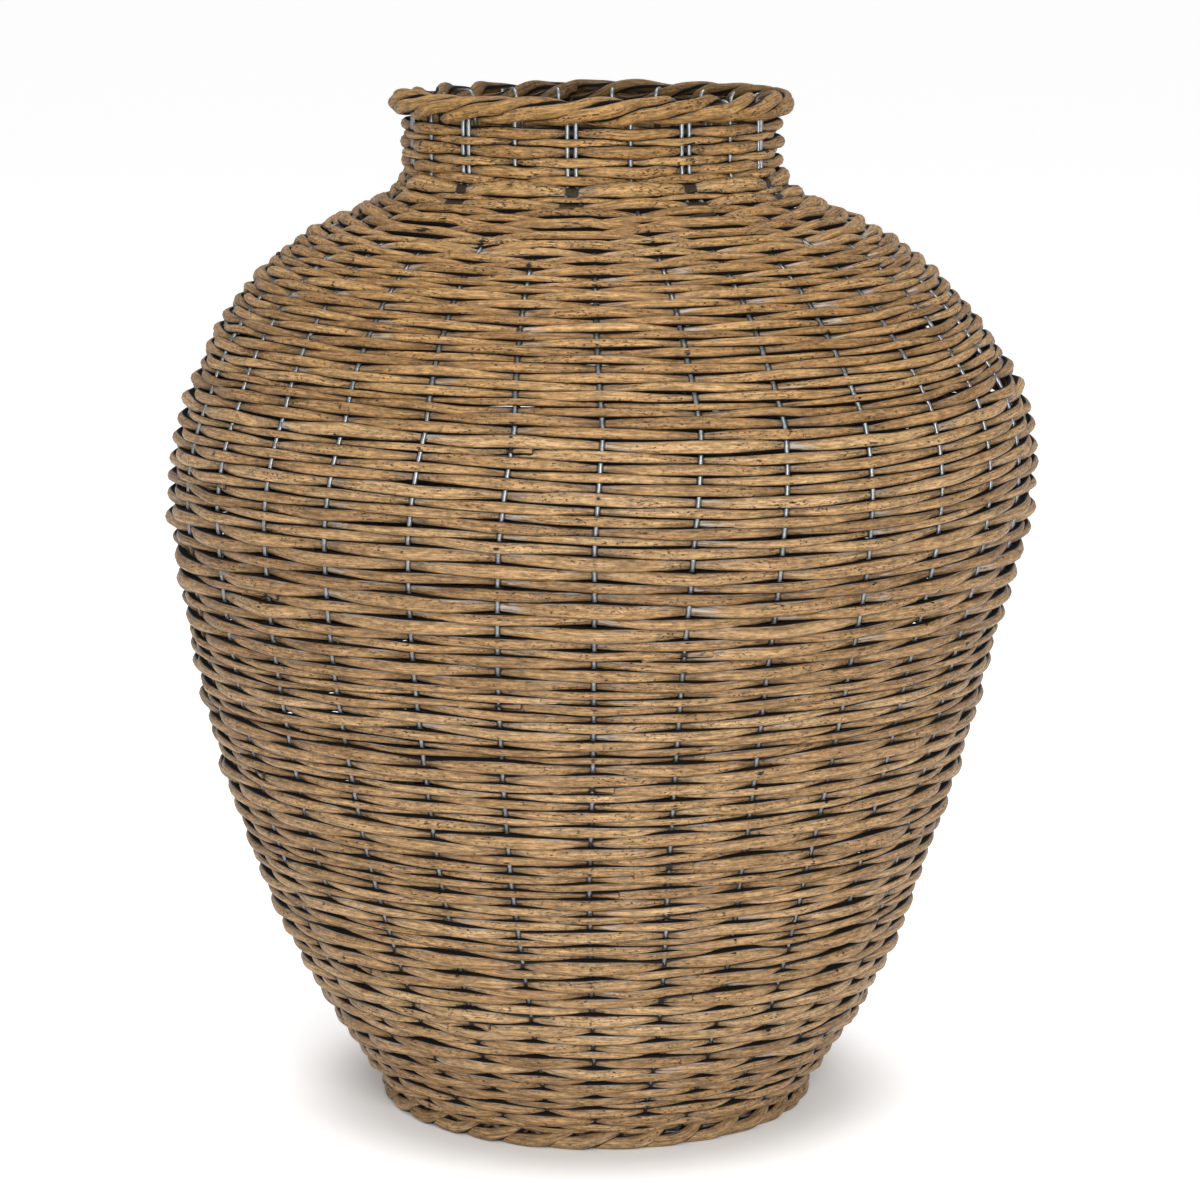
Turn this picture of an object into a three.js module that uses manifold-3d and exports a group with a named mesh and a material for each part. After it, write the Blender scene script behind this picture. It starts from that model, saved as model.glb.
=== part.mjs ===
// Wicker vase: willow rods woven in and out of galvanised wire stakes, on a woven willow base.
// Millimetres, +Z up, front towards -Y, origin on the floor under the middle of the vase.

import * as THREE from 'three';
import { mergeVertices } from 'three/addons/utils/BufferGeometryUtils.js';
import Module from 'manifold-3d';

// Driving dimensions: the stake line, which is the middle of the wires seen from the side
const HEIGHT = 500;
const FOOT_RADIUS = 97.5;
const FOOT_RISE = 4;
const FOOT_FLARE_DEGREES = 50;
const BELLY_RADIUS = 205;
const BELLY_HEIGHT = 318;
const SHOULDER_RADIUS = 124;
const SHOULDER_SLOPE_DEGREES = 18;
const THROAT_DROP = 29;
const NECK_RADIUS = 87.5;
const NECK_LENGTH = 34.6;

// Fullness of the curves between those points, as shares of the rise or run that they cover
const FOOT_FULLNESS = 0.314;
const BELLY_FULLNESS_BELOW = 0.233;
const BELLY_FULLNESS_ABOVE = 0.541;
const SHOULDER_FULLNESS = 0.375;
const THROAT_FULLNESS = 0.45;
const NECK_FULLNESS = 0.457;

// Rods, wires and the clearance that touching pieces keep
const WIRE = 2;
const ROD = 5;
const CLEARANCE = 0.3;

// Counts: each group of three stakes is a single one and a pair that closes up at the neck
const GROUPS = 10;
const STAKES_PER_GROUP = 3;
const STAKES = STAKES_PER_GROUP * GROUPS;
const LOWER_COURSES = 10;
const UPPER_COURSES = 4;
const WALL_ROWS = 5;
const THROAT_STEPS = 3;
const THROAT_ROWS = 6;
const NECK_ROWS = 3;
const PAIR_SPACING = 3.7;
const ROD_END = 6;
const JOIN_STAKE = 12;

// Rim: a wale of three rods, each in front of two columns of wire and behind the third
const RIM_ROD = 5.4;
const RIM_RODS = 3;
const RIM_LIFT = 3.5;
const STUB_DROP = 3;

// Foot and base
const FOOT_WALE = 10;
const FOOT_TOE = 4.5;
const BASE_RISE = 2;
const BASE_STICK = 6;
const STICK_PROUD = 1.2;
const STICKS_PER_LAYER = 4;
const BASE_EYE_RADIUS = 20;

// Fineness of the round forms
const WIRE_SIDES = 4;
const ROD_SIDES = 6;
const HOOK_STEPS = 5;
const RIM_STEPS_PER_COLUMN = 3;

const wasm = await Module();
wasm.setup();

const willow = (color) => new THREE.MeshStandardMaterial({ color, roughness: 0.62, metalness: 0 });
const wallWillow = willow(0xa9814b);
const rimWillow = willow(0xb08a55);
const footWillow = willow(0x94703f);
const baseWillow = willow(0x8d6a3c);
const steel = new THREE.MeshStandardMaterial({ color: 0x8b8f92, roughness: 0.38, metalness: 0.85 });

const TURN = 2 * Math.PI;
const columns = 2 * GROUPS;
const hookRadius = RIM_ROD / 2 + CLEARANCE + WIRE / 2;
const rimMiddle = HEIGHT - RIM_LIFT - RIM_ROD / 2;
const rimBase = rimMiddle - RIM_LIFT - RIM_ROD / 2 - CLEARANCE;
const halfPair = PAIR_SPACING / 2 / NECK_RADIUS;
const rimLay = TURN * RIM_RODS / columns;
const rimReach = 2 * hookRadius / (1 + Math.cos(TURN / 6 + TURN * halfPair / rimLay));
const weaveInner = WIRE / 2 + CLEARANCE;
const weaveOuter = weaveInner + ROD;

const degrees = THREE.MathUtils.degToRad;
const along = (angle, length) => new THREE.Vector2(Math.cos(angle), Math.sin(angle)).multiplyScalar(length);

// A level is one height on the stake line: its point (radius, height) and its outward direction.
function levelOn(curve, share) {
  const tangent = curve.getTangentAt(share);
  return { point: curve.getPointAt(share), out: new THREE.Vector2(tangent.y, -tangent.x) };
}

function levelsOn(curve, steps, from = 0) {
  return Array.from({ length: steps + 1 }, (_, i) => levelOn(curve, 1 - (1 - from) * (steps - i) / steps));
}

function stakeLine() {
  const foot = new THREE.Vector2(FOOT_RADIUS, FOOT_RISE);
  const belly = new THREE.Vector2(BELLY_RADIUS, BELLY_HEIGHT);
  const neck = new THREE.Vector2(NECK_RADIUS, HEIGHT - NECK_LENGTH);
  const shoulder = new THREE.Vector2(SHOULDER_RADIUS, neck.y - THROAT_DROP);
  const wallRise = belly.y - foot.y;
  const shoulderRise = shoulder.y - belly.y;
  const inward = Math.PI - degrees(SHOULDER_SLOPE_DEGREES);

  const footLean = along(degrees(FOOT_FLARE_DEGREES), FOOT_FULLNESS * wallRise);
  const shoulderLean = along(inward, SHOULDER_FULLNESS * (belly.x - shoulder.x));
  const throatLean = along(inward, THROAT_FULLNESS * (shoulder.x - neck.x));
  const upBy = (point, rise) => new THREE.Vector2(point.x, point.y + rise);

  return {
    lower: new THREE.CubicBezierCurve(
      foot, foot.clone().add(footLean), upBy(belly, -BELLY_FULLNESS_BELOW * wallRise), belly),
    upper: new THREE.CubicBezierCurve(
      belly, upBy(belly, BELLY_FULLNESS_ABOVE * shoulderRise), shoulder.clone().sub(shoulderLean), shoulder),
    throat: new THREE.CubicBezierCurve(
      shoulder, shoulder.clone().add(throatLean), upBy(neck, -NECK_FULLNESS * THROAT_DROP), neck),
  };
}

const line = stakeLine();
const footLevel = levelOn(line.lower, 0);
const lowerLevels = levelsOn(line.lower, LOWER_COURSES, FOOT_WALE / line.lower.getLength());
const upperLevels = levelsOn(line.upper, UPPER_COURSES);
const throatLevels = levelsOn(line.throat, THROAT_STEPS);
const neckTop = { point: new THREE.Vector2(NECK_RADIUS, rimBase), out: new THREE.Vector2(1, 0) };

// How far the pairs have closed up: not at all below the throat, fully at its top.
lowerLevels.concat(upperLevels, footLevel).forEach((level) => {
  level.closed = 0;
});
throatLevels.forEach((level, i) => {
  level.closed = THREE.MathUtils.smoothstep(i / THROAT_STEPS, 0, 1);
});
neckTop.closed = 1;

// In a group, member 0 stands alone, and 1 and 2 are the pair: 2 is cut off at the rim, the others hook.
const CUT_MEMBER = 2;
const groupOf = (stake) => Math.floor(stake / STAKES_PER_GROUP);
const memberOf = (stake) => stake % STAKES_PER_GROUP;

// Angles run from the front (-Y) towards +X. The last stake of the last group stands at the front.
function stakeAngle(stake, closed) {
  const bodyAngle = TURN * (stake + 1) / STAKES;
  const singleAngle = TURN * (STAKES_PER_GROUP * groupOf(stake) + 1) / STAKES;
  const pairAngle = TURN * (STAKES_PER_GROUP * groupOf(stake) + 2.5) / STAKES;
  const neckAngle = [singleAngle, pairAngle - halfPair, pairAngle + halfPair][memberOf(stake)];
  return THREE.MathUtils.lerp(bodyAngle, neckAngle, closed);
}

// A point at an angle, on a level, set off from the stake line along the level's outward direction.
function placeOn(level, angle, offset) {
  const radius = level.point.x + offset * level.out.x;
  const height = level.point.y + offset * level.out.y;
  return new THREE.Vector3(radius * Math.sin(angle), -radius * Math.cos(angle), height);
}

// A path through given points, one step from each to the next.
class PointPath extends THREE.Curve {
  constructor(points) {
    super();
    this.points = points;
  }

  getPoint(share, target = new THREE.Vector3()) {
    const place = share * (this.points.length - 1);
    const step = Math.min(Math.floor(place), this.points.length - 2);
    return target.lerpVectors(this.points[step], this.points[step + 1], place - step);
  }

  getPointAt(share, target) {
    return this.getPoint(share, target);
  }

  getTangentAt(share, target) {
    return this.getTangent(share, target);
  }
}

// A round rod or wire through the points, with flat ends.
function rodAlong(points, diameter, sides) {
  const corners = Array.from({ length: sides }, (_, i) => along(TURN * i / sides, diameter / 2));
  return new THREE.ExtrudeGeometry(new THREE.Shape(corners), {
    steps: points.length - 1,
    extrudePath: new PointPath(points),
  });
}

// A ring turned about the vertical axis from a closed section of (radius, height) points.
function ringOf(section, steps, startAngle) {
  const closed = section.concat(section[0].clone());
  return new THREE.LatheGeometry(closed, steps, startAngle, TURN).rotateX(Math.PI / 2);
}

// Where a rim rod runs, past a column where it stands at the given phase: outermost at 0, inmost at pi.
function rimRodPoint(angle, phase) {
  const twist = along(TURN * angle / rimLay + phase, 1);
  const middle = NECK_RADIUS - hookRadius + rimReach;
  return new THREE.Vector2(middle + rimReach * twist.x, rimMiddle + RIM_LIFT * twist.y);
}

// The wire goes up the stake line; a hooked one turns in over the rim rod behind it and down again.
function stakePoints(stake) {
  const levels = [footLevel].concat(lowerLevels, upperLevels.slice(1), throatLevels.slice(1), neckTop);
  const points = levels.map((level) => placeOn(level, stakeAngle(stake, level.closed), 0));
  const angle = stakeAngle(stake, 1);
  const atRim = (radius, height) => placeOn({ point: { x: radius, y: height }, out: neckTop.out }, angle, 0);

  if (memberOf(stake) === CUT_MEMBER) {
    points.push(atRim(NECK_RADIUS, HEIGHT - STUB_DROP));
    return points;
  }
  const fromColumn = memberOf(stake) === 0 ? 0 : -halfPair;
  const held = rimRodPoint(fromColumn, Math.PI);
  for (let i = 0; i <= HOOK_STEPS; i += 1) {
    const bend = along(Math.PI * i / HOOK_STEPS, hookRadius);
    points.push(atRim(NECK_RADIUS - hookRadius + bend.x, held.y + bend.y));
  }
  points.push(atRim(NECK_RADIUS - 2 * hookRadius, rimBase));
  return points;
}

// The level at a share of the way up through the given ones.
function levelAt(levels, share) {
  const place = share * (levels.length - 1);
  const step = THREE.MathUtils.clamp(Math.floor(place), 0, levels.length - 2);
  const [low, high] = levels.slice(step, step + 2);
  return {
    point: low.point.clone().lerp(high.point, place - step),
    out: low.out.clone().lerp(high.out, place - step).normalize(),
    closed: THREE.MathUtils.lerp(low.closed, high.closed, place - step),
  };
}

// Half a clearance as a share of the way up: rows are drawn in by it, so that each lies free of the next.
function drawIn(levels) {
  const steps = levels.slice(1).map((level, i) => level.point.distanceTo(levels[i].point));
  return CLEARANCE / 2 / steps.reduce((sum, step) => sum + step);
}

// A solid rod through three-cornered sections, with their corners in order: lower, front and upper.
function rodThrough(sections) {
  const triangles = [[0, 1, 2]];
  const last = 3 * (sections.length - 1);
  for (let section = 0; section < last; section += 3) {
    for (let corner = 0; corner < 3; corner += 1) {
      const [a, b] = [section + corner, section + (corner + 1) % 3];
      triangles.push([a, a + 3, b + 3], [a, b + 3, b]);
    }
  }
  triangles.push([last, last + 2, last + 1]);

  const geometry = new THREE.BufferGeometry();
  const positions = sections.flat().flatMap((corner) => corner.toArray());
  geometry.setAttribute('position', new THREE.Float32BufferAttribute(positions, 3));
  geometry.setIndex(triangles.flat());
  geometry.computeVertexNormals();
  return geometry;
}

// A woven course: one rod, flat behind and ridged in front, that goes round and round. Each row passes
// outside some stakes and inside the others, as side says, and steps up at its end into the next row.
function courseGeometry(levels, rows, side, start) {
  const inset = drawIn(levels);
  const sectionAt = (step, turned) => {
    const row = Math.floor(step / STAKES);
    const stake = (start + step) % STAKES;
    const [back, front] = side(stake, row) > 0 ? [weaveInner, weaveOuter] : [-weaveOuter, -weaveInner];
    const lower = row / rows + inset;
    const upper = (row + 1) / rows - inset;
    const corners = [[lower, back], [(lower + upper) / 2, front], [upper, back]];
    return corners.map(([share, offset]) => {
      const level = levelAt(levels, share);
      return placeOn(level, stakeAngle(stake, level.closed) + turned / level.point.x, offset);
    });
  };
  const last = STAKES * rows - 1;
  const sections = Array.from({ length: last + 1 }, (_, step) => sectionAt(step, 0));
  return rodThrough([sectionAt(0, -ROD_END), ...sections, sectionAt(last, ROD_END)]);
}

// On the body each stake is a column of the weave; on the neck a pair counts as one column.
const neckColumn = (stake) => 2 * groupOf(stake) + Math.min(memberOf(stake), 1);
const bodySide = (rowsBelow) => (stake, row) => ((stake + rowsBelow + row) % 2 === 0 ? 1 : -1);
const neckSide = (rowsBelow) => (stake, row) => ((neckColumn(stake) + rowsBelow + row) % 2 === 0 ? 1 : -1);

function toSolid(geometry) {
  const bare = geometry.clone();
  bare.deleteAttribute('normal');
  bare.deleteAttribute('uv');
  const merged = mergeVertices(bare, 1e-4);
  return new wasm.Manifold(new wasm.Mesh({
    numProp: 3,
    vertProperties: new Float32Array(merged.attributes.position.array),
    triVerts: new Uint32Array(merged.index.array),
  }));
}

function fromSolid(solid) {
  const mesh = solid.getMesh();
  const geometry = new THREE.BufferGeometry();
  geometry.setAttribute('position', new THREE.BufferAttribute(mesh.vertProperties, 3));
  geometry.setIndex(new THREE.BufferAttribute(mesh.triVerts, 1));
  geometry.computeVertexNormals();
  return geometry;
}

const vase = new THREE.Group();

function addPiece(name, geometry, material) {
  const mesh = new THREE.Mesh(geometry, material);
  mesh.name = name;
  vase.add(mesh);
}

const numbered = (name, number) => `${name}_${String(number).padStart(2, '0')}`;

function addStakes() {
  for (let stake = 0; stake < STAKES; stake += 1) {
    addPiece(numbered('stake', stake + 1), rodAlong(stakePoints(stake), WIRE, WIRE_SIDES), steel);
  }
}

// The rods start and end at the back, each course a group of stakes on from the one below.
function addCourses() {
  const bodyLevels = lowerLevels.concat(upperLevels.slice(1));
  const neckLevels = [throatLevels[THROAT_STEPS], neckTop];
  const bodyCourses = LOWER_COURSES + UPPER_COURSES;
  const startOf = (course) => JOIN_STAKE + STAKES_PER_GROUP * (course % 3);
  const add = (name, levels, rows, side, course) => {
    addPiece(name, courseGeometry(levels, rows, side, startOf(course)), wallWillow);
  };
  for (let course = 0; course < bodyCourses; course += 1) {
    const levels = bodyLevels.slice(course, course + 2);
    add(numbered('wall_course', course + 1), levels, WALL_ROWS, bodySide(WALL_ROWS * course), course);
  }
  add('throat_course', throatLevels, THROAT_ROWS, neckSide(0), bodyCourses);
  add('neck_course', neckLevels, NECK_ROWS, neckSide(THROAT_ROWS), bodyCourses + 1);
}

// The three rods of the rim wind round each other: out and up in front of two columns, in and down
// behind the third, where a hook holds them. Each goes once round and meets the next one's start.
function addRim() {
  const steps = RIM_STEPS_PER_COLUMN * columns;
  const endGap = CLEARANCE / NECK_RADIUS;
  for (let rod = 0; rod < RIM_RODS; rod += 1) {
    const phase = Math.PI + TURN * rod / RIM_RODS;
    const points = Array.from({ length: steps + 1 }, (_, i) => {
      const angle = THREE.MathUtils.clamp(TURN * i / steps, endGap, TURN - endGap);
      const level = { point: rimRodPoint(angle, phase), out: neckTop.out };
      return placeOn(level, stakeAngle(0, 1) + angle, 0);
    });
    addPiece(`rim_rod_${rod + 1}`, rodAlong(points, RIM_ROD, ROD_SIDES), rimWillow);
  }
}

// The foot: an outer wale that stands on the floor and covers the wire ends, and an inner one on its toe.
function addFoot() {
  const wale = [footLevel, lowerLevels[0]];
  const drawnTop = levelAt(wale, 1 - drawIn(wale));
  const offset = (level, distance) => level.point.clone().addScaledVector(level.out, distance);
  const toeTop = FOOT_RISE - WIRE / 2;
  const toeInside = FOOT_RADIUS - FOOT_TOE;
  const outer = [
    new THREE.Vector2(toeInside, 0),
    new THREE.Vector2(offset(footLevel, weaveOuter).x, 0),
    offset(drawnTop, weaveOuter),
    offset(drawnTop, weaveInner),
    offset(footLevel, weaveInner),
    new THREE.Vector2(toeInside, toeTop),
  ];
  const innerFoot = toeTop + CLEARANCE;
  const inner = [
    new THREE.Vector2(toeInside, innerFoot),
    new THREE.Vector2(offset(footLevel, -weaveInner).x, innerFoot + CLEARANCE),
    offset(footLevel, -weaveInner),
    offset(drawnTop, -weaveInner),
    offset(drawnTop, -weaveOuter),
    new THREE.Vector2(toeInside, offset(footLevel, -weaveOuter).y),
  ];
  addPiece('foot_wale_outer', ringOf(outer, STAKES, stakeAngle(0, 0)), footWillow);
  addPiece('foot_wale_inner', ringOf(inner, STAKES, stakeAngle(0, 0)), footWillow);
}

// Base sticks lie in two crossed layers and fan out from the middle to the foot.
function stickPoints(layer, stick, endRadius) {
  const height = BASE_RISE + BASE_STICK / 2 + layer * (BASE_STICK + CLEARANCE);
  const fromMiddle = stick - (STICKS_PER_LAYER - 1) / 2;
  const aside = fromMiddle * (BASE_STICK + CLEARANCE);
  const fan = fromMiddle * TURN / (4 * STICKS_PER_LAYER);
  const bend = BASE_EYE_RADIUS;
  const flat = [
    [-endRadius * Math.cos(fan), endRadius * Math.sin(fan)],
    [-bend, aside],
    [bend, aside],
    [endRadius * Math.cos(fan), endRadius * Math.sin(fan)],
  ];
  return flat.map(([x, y]) => (
    layer === 0 ? new THREE.Vector3(x, y, height) : new THREE.Vector3(-y, x, height)));
}

// The same route, carried on straight past both ends.
function lengthened(points, extra) {
  const last = points.length - 1;
  const beyond = (end, next) => {
    const outward = points[end].clone().sub(points[next]).setLength(extra);
    return points[end].clone().add(outward);
  };
  return [beyond(0, 1), ...points.slice(1, last), beyond(last, last - 1)];
}

function addBase() {
  const edge = FOOT_RADIUS - FOOT_TOE - CLEARANCE;
  const underside = BASE_RISE + STICK_PROUD;
  const top = BASE_RISE + 2 * BASE_STICK + CLEARANCE - STICK_PROUD;
  const section = [
    new THREE.Vector2(BASE_EYE_RADIUS, underside),
    new THREE.Vector2(edge, underside),
    new THREE.Vector2(edge, top),
    new THREE.Vector2(BASE_EYE_RADIUS, top),
  ];
  let weave = toSolid(ringOf(section, STAKES, stakeAngle(0, 0)));
  const stickEnd = edge * Math.cos(Math.PI / STAKES) - CLEARANCE;
  const channel = BASE_STICK + 2 * CLEARANCE;
  for (let layer = 0; layer < 2; layer += 1) {
    for (let stick = 0; stick < STICKS_PER_LAYER; stick += 1) {
      const number = layer * STICKS_PER_LAYER + stick + 1;
      const points = stickPoints(layer, stick, stickEnd);
      addPiece(`base_stick_${number}`, rodAlong(points, BASE_STICK, ROD_SIDES), baseWillow);
      weave = weave.subtract(toSolid(rodAlong(lengthened(points, BASE_STICK), channel, ROD_SIDES)));
    }
  }
  addPiece('base_weave', fromSolid(weave), baseWillow);
}

addStakes();
addCourses();
addRim();
addFoot();
addBase();

export default vase;
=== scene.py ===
import math
from collections import namedtuple

import bpy
import numpy as np
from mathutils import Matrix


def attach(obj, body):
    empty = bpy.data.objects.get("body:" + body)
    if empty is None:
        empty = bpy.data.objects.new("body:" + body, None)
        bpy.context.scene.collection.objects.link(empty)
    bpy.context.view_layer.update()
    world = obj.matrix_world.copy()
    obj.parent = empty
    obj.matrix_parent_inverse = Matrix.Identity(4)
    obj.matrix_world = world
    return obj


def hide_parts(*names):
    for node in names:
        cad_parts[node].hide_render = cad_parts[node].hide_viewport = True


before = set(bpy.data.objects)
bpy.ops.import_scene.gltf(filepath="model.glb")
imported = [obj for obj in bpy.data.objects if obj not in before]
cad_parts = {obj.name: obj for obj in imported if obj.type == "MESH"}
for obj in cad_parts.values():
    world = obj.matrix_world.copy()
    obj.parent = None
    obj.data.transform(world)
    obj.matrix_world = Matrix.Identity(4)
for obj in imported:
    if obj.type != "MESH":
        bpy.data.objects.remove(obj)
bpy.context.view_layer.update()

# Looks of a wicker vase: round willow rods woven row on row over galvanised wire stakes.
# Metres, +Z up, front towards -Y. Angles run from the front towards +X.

# The stake line, which is the middle of the wires seen from the side
HEIGHT = 0.500
FOOT_RADIUS = 0.0975
FOOT_RISE = 0.004
FOOT_FLARE = math.radians(50)
BELLY_RADIUS = 0.205
BELLY_HEIGHT = 0.318
SHOULDER_RADIUS = 0.124
SHOULDER_SLOPE = math.radians(18)
THROAT_DROP = 0.029
NECK_RADIUS = 0.0875
NECK_LENGTH = 0.0346
FOOT_FULLNESS = 0.314
BELLY_FULLNESS_BELOW = 0.233
BELLY_FULLNESS_ABOVE = 0.541
SHOULDER_FULLNESS = 0.375
THROAT_FULLNESS = 0.45
NECK_FULLNESS = 0.457

# The hand-made lean: how far the axis stands to the right at some heights
LEAN_HEIGHTS = (0.0, 0.05, 0.15, 0.25, 0.31, 0.36, 0.39, 0.425, 0.47, 0.5)
LEAN = (0.0, 0.0, -0.003, -0.0015, 0.0, 0.0045, 0.002, 0.0, -0.002, -0.002)
BULGE = 0.006
BULGE_HEIGHT = 0.31
BULGE_SPREAD = 0.05
FULLER = 0.002
FULLER_HEIGHT = 0.09
FULLER_SPREAD = 0.09

# Wires: each group of three is a single one and a pair that closes up at the neck. The frame's courses count
# ten up to the belly and four above it.
WIRE = 0.0022
GROUPS = 10
STAKES = 3 * GROUPS
PAIR_SPACING = 0.0037
STAKE_STEP = 0.004
STAKE_SWAY = math.radians(0.8)
LOWER_COURSES = 10
UPPER_COURSES = 4

# Rods of the wall: mean thickness at distances along it, and of the rows of the throat and the neck
ROD_PLACES = (0.0, 0.11, 0.14, 0.18, 0.22, 0.255, 0.275, 0.30, 0.345, 0.375, 0.45)
WALL_ROD = (0.0053, 0.0052, 0.0046, 0.0049, 0.0045, 0.0041, 0.0045, 0.0053, 0.0050, 0.0047, 0.0045)
THROAT_ROD = 0.0051
NECK_THICK_ROD = 0.0053
NECK_THIN_ROD = 0.0036
THROAT_ROWS = 7
NECK_ROWS = 9

# One rod: its length, its thickness at both ends, and how far its tip is cut off past a wire
ROD_LENGTH = 1.0
BUTT_SHARE = 1.19
TIP_SHARE = 0.80
CUT_PAST_WIRE = 0.011
STUB_LIFT = 0.0020
BUTT_SINK = 0.0012
TIP_RISE_SHARE = 0.30
BUTT_DROP_SHARE = 0.22

# Shares of the rods whose pale patches past a wire are full, partly wear and partly a painted reflection,
# and of the rows whose joins show in front
WEAR_AND_REFLECTION_SHARE = 0.2
SHOWN_JOINS = 0.2

# How rods lie, by distance along the wall: how far they spring forward between the wires, how thick they are
# drawn for their row, how deep they go in and out, and how much lower or higher they lie behind a wire
SPRING_PLACES = (0.20, 0.28)
SPRING = (0.50, 0.25)
SNUG_PLACES = (0.0, 0.20, 0.27, 0.36, 0.42, 0.48, 0.51, 0.535)
SNUG = (1.20, 1.19, 1.17, 1.15, 1.13, 1.14, 1.18, 1.22)
TUCK_PLACES = (0.0, 0.03, 0.12, 0.22, 0.30, 0.36, 0.42, 0.53, 0.54)
TUCK = (0.42, 0.45, 0.52, 0.60, 0.70, 0.66, 0.49, 0.46, 0.70)
NEST_PLACES = (0.0, 0.22, 0.30, 0.36, 0.42, 0.50, 0.54)
NEST = (0.14, 0.13, 0.03, 0.0, -0.07, -0.09, 0.0)

# Unevenness: crooks of single rods, how many rows even out a thick one, slow swells, and open slits
CROOKS = {"wall": 0.00024, "throat": 0.00045, "neck": 0.00026}
LEVEL_ROWS = 5.0
SWELL_WIDTH = math.radians(28)
SWELL_SHARE = 0.45
SLITS_PER_ROW = 1.2
SLIT_LEAST = 0.0006
SLIT_MEAN = 0.0007
SLIT_MOST = 0.0034
SLIT_SHARE_BEHIND = 0.15

# Rim and foot: three-rod wales
RIM_ROD = 0.0064
RIM_LIFT = 0.0035
HOOK_RADIUS = 0.0040
HOOK_ENDS = np.array([0.003, 0.0075])
HOOK_STEPS = 11
STUB_DROP = 0.003
RIM_RISE = 0.0013
FOOT_WALE = 0.010
FOOT_ROD = 0.0064
FOOT_SEAT = 0.0034
FOOT_REACH = 0.0062
FOOT_LIFT = 0.0022
ROWS_FROM = 0.0058
WALE_DWELL = 0.45
WALE_STEPS = 300
# For the rim and foot strands the bow only raises exposed in the willow shader, so less of them gets the
# painted shade and highlight.
RIM_BOW = 2.0
FOOT_BOW = 1.6

# Base
BASE_MIDDLE = 0.0082
BASE_STICK = 0.006
BASE_STICK_END = 0.0045
BASE_LAYER_GAP = 0.0063
STICKS_PER_LAYER = 4
BASE_EYE_RADIUS = 0.020
BASE_EDGE = 0.0905
BASE_ROD = 0.0042
BASE_BINDING_ROWS = 3
BASE_ROW_STEPS = 150
BASE_STICK_STEPS = 61

TURN = 2 * math.pi
ROD_SIDES = 10
WALE_SIDES = 12
WIRE_SIDES = 8
DRAWN_AT = np.array([0.05, 0.13, 0.25, 0.37, 0.5, 0.63, 0.75, 0.87, 0.95])
GRID = 720

# Studio: camera at the photograph's angle, soft light and a pale floor
LENS = 112.89
CAMERA_PLACE = (0.002, -1.8364, 0.5873)
CAMERA_PITCH = math.radians(10.432)
WORLD_LIGHT = 0.62
FLOOR_SIZE = 400
FLOOR_GLOW = 0.42
FLOOR_GLOW_FROM = 0.11
FLOOR_GLOW_FULL = 0.17

rng = np.random.default_rng(655)

# A strand: its points, thickness and tone, the way it faces, and how it lies at the wires
Rod = namedtuple("Rod", "points radii tone out bow near pale", defaults=(0.0, 1.0, 0.0))


# The wall as a line: radius, height and outward direction by distance along it

def bezier(p0, p1, p2, p3, steps=240):
    t = np.linspace(0, 1, steps)[:, None]
    p0, p1, p2, p3 = map(np.array, (p0, p1, p2, p3))
    return (1 - t) ** 3 * p0 + 3 * t * (1 - t) ** 2 * p1 + 3 * t ** 2 * (1 - t) * p2 + t ** 3 * p3


def leaning(point, angle, length):
    return (point[0] + length * math.cos(angle), point[1] + length * math.sin(angle))


def line_length(points):
    return float(np.linalg.norm(np.diff(points, axis=0), axis=1).sum())


foot = (FOOT_RADIUS, FOOT_RISE)
belly = (BELLY_RADIUS, BELLY_HEIGHT)
neck = (NECK_RADIUS, HEIGHT - NECK_LENGTH)
shoulder = (SHOULDER_RADIUS, neck[1] - THROAT_DROP)
wall_rise = belly[1] - foot[1]
shoulder_rise = shoulder[1] - belly[1]
inward = math.pi - SHOULDER_SLOPE

lower_line = bezier(
    foot,
    leaning(foot, FOOT_FLARE, FOOT_FULLNESS * wall_rise),
    (belly[0], belly[1] - BELLY_FULLNESS_BELOW * wall_rise),
    belly,
)
upper_line = bezier(
    belly,
    (belly[0], belly[1] + BELLY_FULLNESS_ABOVE * shoulder_rise),
    leaning(shoulder, inward, -SHOULDER_FULLNESS * (belly[0] - shoulder[0])),
    shoulder,
)
throat_line = bezier(
    shoulder,
    leaning(shoulder, inward, THROAT_FULLNESS * (shoulder[0] - neck[0])),
    (neck[0], neck[1] - NECK_FULLNESS * THROAT_DROP),
    neck,
)
neck_line = np.array([neck, (NECK_RADIUS, HEIGHT)])
wall_line = np.concatenate([lower_line, upper_line[1:], throat_line[1:], neck_line[1:]])
wall_steps = np.diff(wall_line, axis=0)
wall_along = np.concatenate([[0], np.cumsum(np.linalg.norm(wall_steps, axis=1))])
wall_tangent = np.gradient(wall_line, wall_along, axis=0)
wall_tangent /= np.linalg.norm(wall_tangent, axis=1)[:, None]

belly_along = line_length(lower_line)
shoulder_along = belly_along + line_length(upper_line)
neck_along = shoulder_along + line_length(throat_line)
rim_middle = HEIGHT - RIM_LIFT - RIM_ROD / 2
rim_base_along = neck_along + (rim_middle - RIM_LIFT - RIM_ROD / 2) - neck[1]


def on_wall(along):
    """Radius, height and outward direction at distances along the stake line."""
    radius = np.interp(along, wall_along, wall_line[:, 0])
    height = np.interp(along, wall_along, wall_line[:, 1])
    tangent_r = np.interp(along, wall_along, wall_tangent[:, 0])
    tangent_z = np.interp(along, wall_along, wall_tangent[:, 1])
    return radius, height, tangent_z, -tangent_r


def in_space(radius, height, angle):
    """Points from radius, height and angle, with the lean, and fuller low down and on the right."""
    radius = radius + FULLER * np.exp(-(((height - FULLER_HEIGHT) / FULLER_SPREAD) ** 2))
    bulge = BULGE * np.exp(-(((height - BULGE_HEIGHT) / BULGE_SPREAD) ** 2))
    lean = np.interp(height, LEAN_HEIGHTS, LEAN)
    x = radius * np.sin(angle) + lean + bulge * np.maximum(np.sin(angle), 0)
    y = -radius * np.cos(angle)
    return np.stack(np.broadcast_arrays(x, y, height), axis=-1)


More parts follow.
